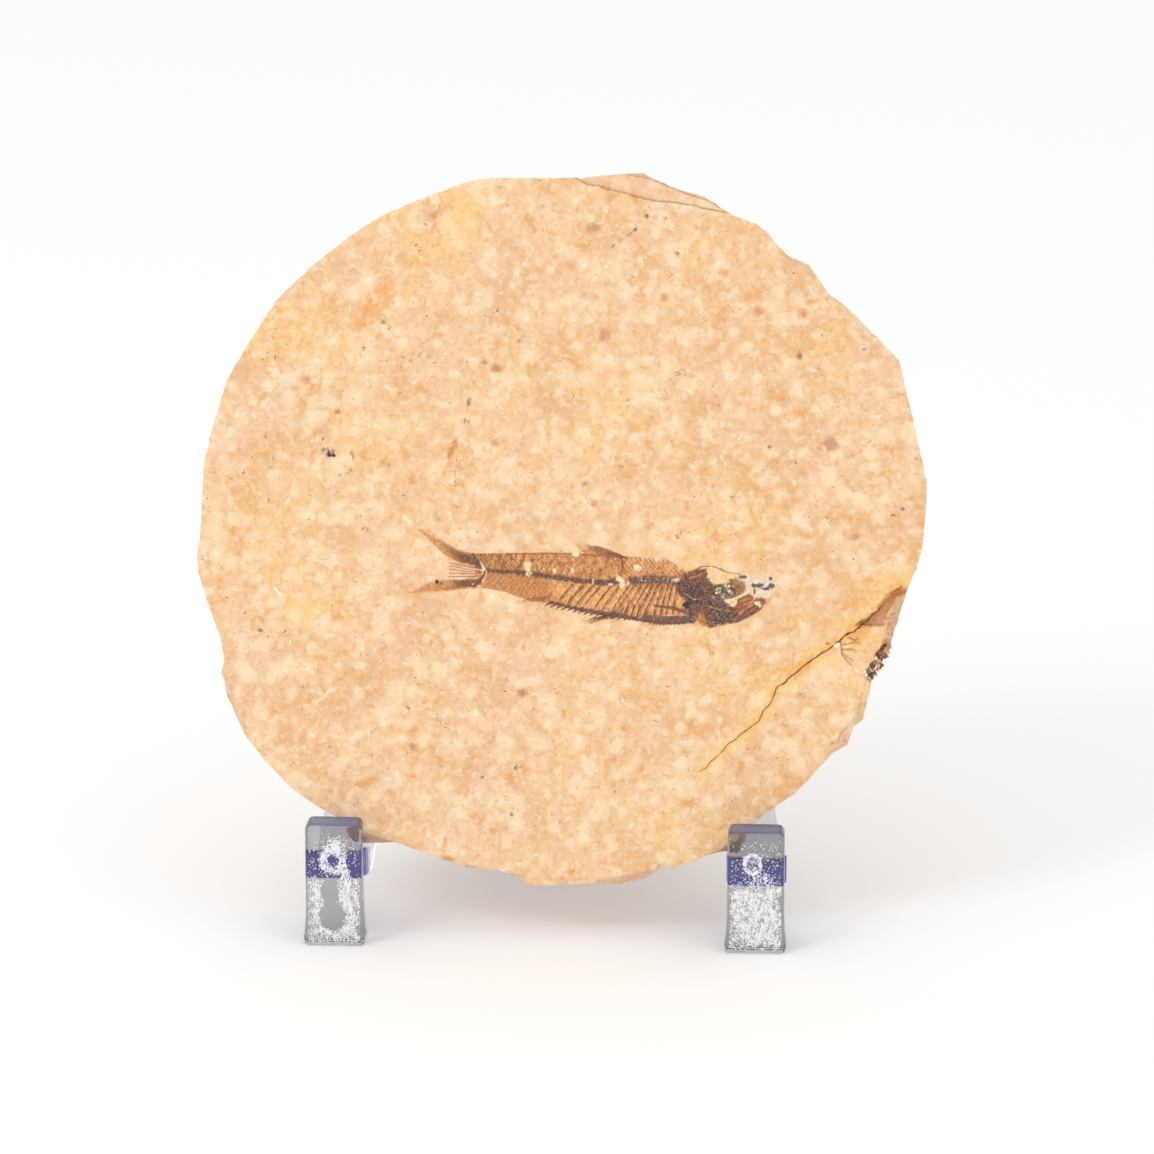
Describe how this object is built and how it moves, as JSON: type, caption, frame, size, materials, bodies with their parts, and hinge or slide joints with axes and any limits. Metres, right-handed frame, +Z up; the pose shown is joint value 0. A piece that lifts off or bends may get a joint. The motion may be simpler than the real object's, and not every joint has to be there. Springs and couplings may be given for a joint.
{
  "type": "fossil fish slab",
  "caption": "Near-round cream limestone slab with a small brown fossil fish on its face, leaning upright in a clear cemented easel stand.",
  "frame": {"origin": "middle of the underside of the whole object's box, on the surface that it stands on", "axes": "+Z up, -Y the way the fish's side of the slab faces, +X towards the fish's head"},
  "size_m": [0.1262, 0.0624, 0.1266],
  "materials": {
    "limestone": "fine dense cream limestone, matte, softly mottled with paler rounded grains and small brown specks",
    "fossil_bone": "mineralised bone film, low satin, ochre to dark purple-brown",
    "clear_acrylic": "clear and glossy, finely scratched, frosted at the feet",
    "blue_edged_acrylic": "clear with slate-blue sawn ends"
  },
  "bodies": {
    "root": {"stone_slab": "limestone", "fossil_fish": "fossil_bone", "left_post": "clear_acrylic", "right_post": "clear_acrylic", "left_ledge": "blue_edged_acrylic", "right_ledge": "blue_edged_acrylic", "left_upright": "clear_acrylic", "right_upright": "clear_acrylic", "cross_panel": "clear_acrylic", "rear_leg": "clear_acrylic"}
  },
  "joints": []
}
